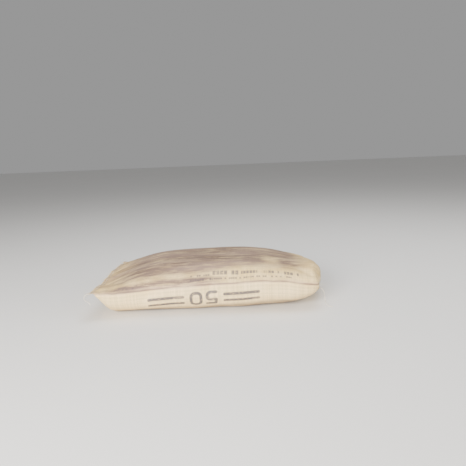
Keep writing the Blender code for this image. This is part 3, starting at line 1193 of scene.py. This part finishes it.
class Value:
    """A value in a material's node tree. Arithmetic with it adds the nodes that work out the result."""

    __add__ = maths_method("ADD")
    __sub__ = maths_method("SUBTRACT")
    __rsub__ = maths_method("SUBTRACT", turned=True)
    __mul__ = maths_method("MULTIPLY")
    __truediv__ = maths_method("DIVIDE")
    __pow__ = maths_method("POWER")
    __abs__ = maths_method("ABSOLUTE")

    def __init__(self, nodes, socket):
        self.nodes = nodes
        self.socket = socket

    def clamped(self):
        return self.nodes.node("ShaderNodeClamp", {0: self})

    def scaled(self, span, start):
        return self * span + start


class Nodes:
    """A material's node tree, built in few words: a call adds the nodes it needs and gives their result."""

    def __init__(self, name):
        self.material = bpy.data.materials.new(name)
        self.material.use_nodes = True
        self.tree = self.material.node_tree

    def set(self, socket, value):
        if isinstance(value, Value):
            self.tree.links.new(value.socket, socket)
        else:
            socket.default_value = value

    def node(self, kind, inputs, output=0, **settings):
        made = self.tree.nodes.new(kind)
        for name, value in settings.items():
            setattr(made, name, value)
        for name, value in inputs.items():
            self.set(made.inputs[name], value)
        return Value(self, made.outputs[output])

    def math(self, operation, *values):
        return self.node("ShaderNodeMath", dict(enumerate(values)), operation=operation)

    def vector(self, operation, *values, output=0):
        return self.node("ShaderNodeVectorMath", dict(enumerate(values)), output, operation=operation)

    def length(self, vector):
        return self.vector("LENGTH", vector, output=1)

    def largest(self, *values):
        return functools.reduce(functools.partial(self.math, "MAXIMUM"), values)

    def smallest(self, *values):
        return functools.reduce(functools.partial(self.math, "MINIMUM"), values)

    def combine(self, x, y, z=0.0):
        return self.node("ShaderNodeCombineXYZ", {"X": x, "Y": y, "Z": z})

    def choose(self, share, first, second):
        """The first value where the share is 0 and the second where it is 1."""
        return self.node("ShaderNodeMix", {0: share, 2: first, 3: second})

    def mix(self, share, first, second, kind="MIX"):
        """The first colour where the share is 0 and the second where it is 1."""
        colours = [(*value, 1) if isinstance(value, tuple) else value for value in (first, second)]
        inputs = {0: share, 6: colours[0], 7: colours[1]}
        return self.node("ShaderNodeMix", inputs, output=2, data_type="RGBA", blend_type=kind)

    def ramp(self, value, start, end, low=0.0, high=1.0):
        """A smooth step: low where the value is at start or before, high where it is at end or past it."""
        inputs = {0: value, 1: start, 2: end, 3: low, 4: high}
        return self.node("ShaderNodeMapRange", inputs, interpolation_type="SMOOTHSTEP")

    def band(self, value, low, high, soft):
        """1 where the value lies between low and high, with soft edges."""
        return self.ramp(value, low - soft, low + soft) * self.ramp(value, high - soft, high + soft, 1.0, 0.0)

    def noise(self, place, scale, detail):
        inputs = {"Vector": place, "Scale": scale, "Detail": detail, "Roughness": 0.55}
        return self.node("ShaderNodeTexNoise", inputs)

    def grain(self, scale, detail):
        """Noise in the object's own space."""
        return self.noise(self.node("ShaderNodeTexCoord", {}, output="Object"), scale, detail)

    def random(self, value):
        return self.node("ShaderNodeTexWhiteNoise", {"W": value}, noise_dimensions="1D")

    def finish(self, colour, roughness, relief, strength, distance):
        """Joins the colour, the roughness and the relief to the shader, and gives the material."""
        bump = self.node("ShaderNodeBump", {"Strength": strength, "Distance": distance, "Height": relief})
        shader = self.tree.nodes["Principled BSDF"]
        for name, value in (("Base Color", colour), ("Roughness", roughness), ("Normal", bump)):
            self.set(shader.inputs[name], value)
        return self.material


class ClothNodes(Nodes):
    """The woven cloth's material: the place on the flat cloth, its weave and streaks, the dust on it, and
    painted shade in the weave's hollows and just above the fold.
    """

    def __init__(self):
        super().__init__("woven_cloth")
        uv = self.node("ShaderNodeUVMap", {}, uv_map="cloth")
        self.along = self.node("ShaderNodeSeparateXYZ", {0: uv})
        self.around = self.node("ShaderNodeSeparateXYZ", {0: uv}, output=1)
        beneath = self.math("GREATER_THAN", self.around, TUBE_GIRTH * 0.75)
        self.above = self.around - beneath * TUBE_GIRTH
        self.level = TUBE_GIRTH / 4 - abs(self.above - TUBE_GIRTH / 4)
        self.height, self.tone = self.weave()
        self.broad = self.streaks(*BROAD_STREAKS)
        self.patches = self.streaks(*PATCHES)
        self.specks = self.streaks(*SPECKS)
        # Dust over the cloth, with the painted shade just above the fold in it
        self.dust = self.dust_and_shade_cover()

    def weave(self):
        """A plain weave of flat tapes: its height from 0 to 1, and each tape's own number from 0 to 1."""
        tapes = [place / TAPE_WIDTH for place in (self.along, self.around)]
        numbers = [self.math("FLOOR", tape) for tape in tapes]
        aways = [abs(self.math("FRACT", tape) * 2.0 - 1.0) for tape in tapes]
        flat = [1.0 - away ** 4.0 for away in aways]
        bent = [1.0 - away ** 2.0 * TAPE_DIP for away in aways]
        lengthwise_on_top = self.math("FLOORED_MODULO", numbers[0] + numbers[1], 2.0)
        height = self.choose(lengthwise_on_top, flat[0] * bent[1], flat[1] * bent[0])
        tone = self.choose(lengthwise_on_top, self.random(numbers[0]), self.random(numbers[1] + ACROSS_START))
        return height, tone

    def streaks(self, long, wide, seed, detail):
        """Noise from 0 to 1 that is drawn out along the bag."""
        return self.noise(self.combine(self.along / long, self.around / wide, seed), 1.0, detail)

    def dust_and_shade_places(self):
        """Where dust can lie: most on the crown and the back, some just above the fold, where it is painted
        shade as well, little below it.
        """
        from_edge = self.level - self.ramp(self.along, *CROWN_EDGE_ALONG)
        crown = self.ramp(from_edge, *CROWN_FROM_EDGE) * self.ramp(self.along, *CROWN_ALONG)
        # Just above the fold, most towards the mouth: dust, and painted shade of the hollow cloth there
        by_fold_dust_and_shade = self.band(self.level, *BY_FOLD_DUST_AND_SHADE_LEVEL) * self.ramp(self.along, *BY_FOLD_DUST_AND_SHADE_ALONG)
        lying = self.largest(crown, by_fold_dust_and_shade, self.ramp(self.level, *UNDERSIDE_LEVEL))
        rubbed = self.band(self.along, *RUBBED_ALONG) * self.band(self.above, *RUBBED_ABOVE)
        ends = self.ramp(self.along, *BUTT_ALONG) * self.ramp(self.along, *MOUTH_ALONG)
        return lying * ends * (1.0 - rubbed * RUBBED_SHARE)

    def dust_and_shade_cover(self):
        """How much of the cloth the dust, and the painted shade just above the fold, cover: in streaks,
        patches and specks, more between the tapes.
        """
        lying = self.dust_and_shade_places()
        thin = self.ramp(self.streaks(*THIN_STREAKS), *THIN_STEP)
        long = self.ramp(self.streaks(*LONG_STREAKS), *LONG_STEP)
        dust = lying * (thin * THIN_SHARE + long * LONG_SHARE + EVEN_SHARE)
        dust += (self.patches - 0.5) * PATCHES_SHARE
        dust += (self.specks - 0.5) * SPECKS_SHARE
        dust += (self.tone - 0.5) * TAPES_SHARE
        dust = (dust * self.ramp(lying, *BARE_STEP)).clamped()
        return (dust + dust * (1.0 - self.height) * HOLLOWS_SHARE).clamped()

    def clean_cloth(self):
        """The cloth without its dust: cream or yellower, each tape with a tone of its own, and painted shade
        where the weave is low.
        """
        yellow = self.largest(self.ramp(self.patches, *YELLOW_PATCHES), self.ramp(self.along, *YELLOW_MOUTH))
        cloth = self.mix(yellow * self.ramp(self.level, *YELLOW_LEVEL), CLEAN_CLOTH, YELLOW_CLOTH)
        # Each tape's own tone, times painted shade that darkens the weave where it is low
        tone_and_painted_shade = self.tone.scaled(*TONE_BRIGHTNESS) * self.height.scaled(*WEAVE_PAINTED_SHADE)
        return self.mix(1.0, cloth, tone_and_painted_shade, "MULTIPLY")

    def stroke(self, place, start, end):
        """How far a place lies from a straight stroke."""
        run = Vector((end[0] - start[0], end[1] - start[1], 0))
        from_start = self.vector("SUBTRACT", place, (*start, 0))
        share = (self.vector("DOT_PRODUCT", from_start, run, output=1) / run.length_squared).clamped()
        return self.length(self.vector("SUBTRACT", from_start, self.vector("MULTIPLY", run, share)))

    def half_ring(self, place, centre, radius):
        """How far a place lies from the right half of a ring."""
        away = self.length(self.vector("SUBTRACT", place, (*centre, 0)))
        x = self.node("ShaderNodeSeparateXYZ", {0: place})
        return abs(away - radius) + self.math("LESS_THAN", x, centre[0])

    def nought(self, place):
        """How far a place lies from the line of a plain nought."""
        away = self.vector("ABSOLUTE", self.vector("SUBTRACT", place, (*NOUGHT_CENTRE, 0)))
        beyond = self.vector("MAXIMUM", self.vector("SUBTRACT", away, (*NOUGHT_CORE, 0)), (0, 0, 0))
        return abs(self.length(beyond) - NOUGHT_RADIUS)

    def weight_mark(self):
        """The upside-down printing, from 0 to 1: a plain 50 between bars."""
        place = self.combine(PRINT_PLACE[0] - self.along, PRINT_PLACE[1] - self.above)
        strokes = [self.stroke(place, start, end) for start, end in FIVE_STROKES + BARS]
        nearest = self.smallest(self.nought(place), self.half_ring(place, *FIVE_BOWL), *strokes)
        return self.ramp(nearest, PRINT_STROKE / 2 + PRINT_EDGE, PRINT_STROKE / 2 - PRINT_EDGE)

    def small_row(self, start, end, level, tall):
        """A row of small faded blocks above the fold, some of them left out, from 0 to 1."""
        along = self.band(self.along, start, end, ROW_END_SOFTNESS)
        across = self.band(self.above, level, level + tall, ROW_EDGE_SOFTNESS)
        cell = self.along / (ROW_BLOCK + tall * ROW_BLOCK_BY_HEIGHT)
        kept = self.ramp(self.random(self.math("FLOOR", cell) + level * ROW_SEED), *ROW_KEPT)
        gap = self.ramp(self.math("FRACT", cell), *ROW_GAP)
        return along * across * (kept * gap)

    def colour(self):
        """The printing on the cloth, the dust over it with the painted shade just above the fold, and the
        dirt along the fold.
        """
        worn = self.ramp(self.streaks(*PRINT_WEAR), *WORN_STREAKS)
        worn *= self.ramp(self.patches, *WORN_PATCHES)
        mark = self.weight_mark() * worn
        rows = self.largest(*(self.small_row(*row) for row in SMALL_ROWS)) * worn
        colour = self.mix(self.largest(mark * PRINT_DEPTH, rows * ROWS_DEPTH), self.clean_cloth(), PRINT_INK)
        # Dust colour, which also paints the shade just above the fold towards the mouth
        dust_and_shade_colour = self.mix(self.ramp(self.broad, *DUST_TINTS), DUST, PALE_DUST)
        colour = self.mix(self.dust * DUST_DEPTH, colour, dust_and_shade_colour)
        colour = self.mix(rows * ROWS_OVER_DUST, colour, PRINT_INK)
        from_fold = abs(self.level)
        flush = self.ramp(from_fold, *FLUSH_FROM_FOLD) * self.ramp(self.broad, *FLUSH_STREAKS)
        dirt = self.ramp(from_fold, *DIRT_FROM_FOLD) * self.ramp(self.patches, *DIRT_PATCHES)
        return self.mix(dirt, self.mix(flush, colour, FOLD_FLUSH), FOLD_DIRT)

    def relief(self):
        """How far the cloth stands up, in metres: weave, creases, a groove at the stitches, crusted dust."""
        groove = self.ramp(abs(self.along - STITCH_INSET), *GROOVE)
        crust = self.specks * self.dust * CRUST_HEIGHT
        return self.height * WEAVE_HEIGHT + self.streaks(*CREASES) * CREASE_HEIGHT + groove + crust


def cloth_material():
    """Woven plastic cloth, matt where dust covers it."""
    nodes = ClothNodes()
    roughness = nodes.dust * DUST_ROUGHNESS + nodes.tone * TONE_ROUGHNESS + CLOTH_ROUGHNESS
    return nodes.finish(nodes.colour(), roughness, nodes.relief(), *CLOTH_RELIEF)


def tape_material():
    """Loose ends of the cloth's tapes: cream plastic, darker towards grey where dust clings."""
    nodes = Nodes("loose_tapes")
    lines = nodes.grain(*TAPE_LINES)
    plain = nodes.mix(nodes.ramp(nodes.grain(*TAPE_PATCHES), *TAPE_YELLOW), CLEAN_CLOTH, YELLOW_CLOTH)
    dirt = nodes.ramp(nodes.grain(*TAPE_DUST), *TAPE_DUST_STEP)
    return nodes.finish(nodes.mix(dirt, plain, PALE_DUST), lines.scaled(*TAPE_ROUGHNESS), lines, *TAPE_RELIEF)


def thread_material():
    """Twisted off-white thread: fine fibres, grey in places with dust."""
    nodes = Nodes("twisted_thread")
    fibres = nodes.grain(*THREAD_FIBRES)
    clean = nodes.mix(fibres, THREAD_COLOUR, THREAD_SHADE)
    dirt = nodes.ramp(nodes.grain(*THREAD_DUST), *THREAD_DUST_STEP)
    roughness = fibres.scaled(*THREAD_ROUGHNESS)
    return nodes.finish(nodes.mix(dirt, clean, PALE_DUST), roughness, fibres, *THREAD_RELIEF)


def floor_material():
    """Pale matt floor paint."""
    nodes = Nodes("floor_paint")
    cloud = nodes.grain(*FLOOR_CLOUDS)
    darker = tuple(part * FLOOR_SHADE for part in FLOOR_COLOUR)
    colour = nodes.mix(cloud, FLOOR_COLOUR, darker)
    return nodes.finish(colour, cloud.scaled(*FLOOR_ROUGHNESS), nodes.grain(*FLOOR_GRAIN), *FLOOR_RELIEF)


def add_floor():
    mesh = bpy.data.meshes.new("floor")
    corners = [(x * FLOOR_REACH, y * FLOOR_REACH, 0) for x, y in ((-1, -1), (1, -1), (1, 1), (-1, 1))]
    mesh.from_pydata(corners, [], [(0, 1, 2, 3)])
    mesh.materials.append(floor_material())
    add_object("floor", mesh)


def add_lights():
    for name, place, size, power, colour in LIGHTS:
        light = bpy.data.lights.new(name, "AREA")
        light.energy = power
        light.size = size
        light.color = colour
        made = add_object(name, light)
        made.location = place
        made.rotation_euler = (Vector(LIGHT_AIM) - Vector(place)).to_track_quat("-Z", "Y").to_euler()
    world = bpy.data.worlds.new("studio")
    world.use_nodes = True
    sky = world.node_tree.nodes["Background"].inputs
    sky["Color"].default_value = (*SKY_COLOUR, 1)
    sky["Strength"].default_value = SKY_STRENGTH
    bpy.context.scene.world = world


def add_camera():
    data = bpy.data.cameras.new("photo_camera")
    data.lens = CAMERA_LENS
    data.sensor_width = SENSOR_WIDTH
    camera = add_object("photo_camera", data)
    forward = Vector((
        math.sin(CAMERA_YAW) * math.cos(CAMERA_PITCH),
        math.cos(CAMERA_YAW) * math.cos(CAMERA_PITCH),
        -math.sin(CAMERA_PITCH),
    ))
    level = Vector((math.cos(CAMERA_YAW), -math.sin(CAMERA_YAW), 0))
    upright = level.cross(forward)
    right = level * math.cos(CAMERA_ROLL) + upright * math.sin(CAMERA_ROLL)
    up = upright * math.cos(CAMERA_ROLL) - level * math.sin(CAMERA_ROLL)
    turned = Matrix((right, up, -forward)).transposed().to_4x4()
    camera.matrix_world = Matrix.Translation(CAMERA_PLACE) @ turned
    bpy.context.scene.camera = camera


def main():
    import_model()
    add_camera()
    add_floor()
    add_lights()
    cloth = cloth_material()
    thread = thread_material()
    tape = tape_material()
    mouth_tail = tail_points(mouth_stitching_start(), MOUTH_TAIL_ROUTE)
    butt_tail = tail_points(butt_stitching_start(), BUTT_TAIL_ROUTE)
    surface = make_sack(cloth)
    make_mouth_stitches(surface, thread, mouth_tail)
    make_mouth_fray(surface, tape)
    butt_hem = ButtHem(surface)
    butt_hem.make(cloth)
    butt_hem.make_stitches(thread, butt_tail)
    make_hem_fray(butt_hem, tape)
    make_ear_fibres(surface, thread)
    make_tail("mouth_tail", "mouth_thread_tail", mouth_tail, thread)
    make_tail("butt_tail", "butt_thread_tail", butt_tail, thread)


main()
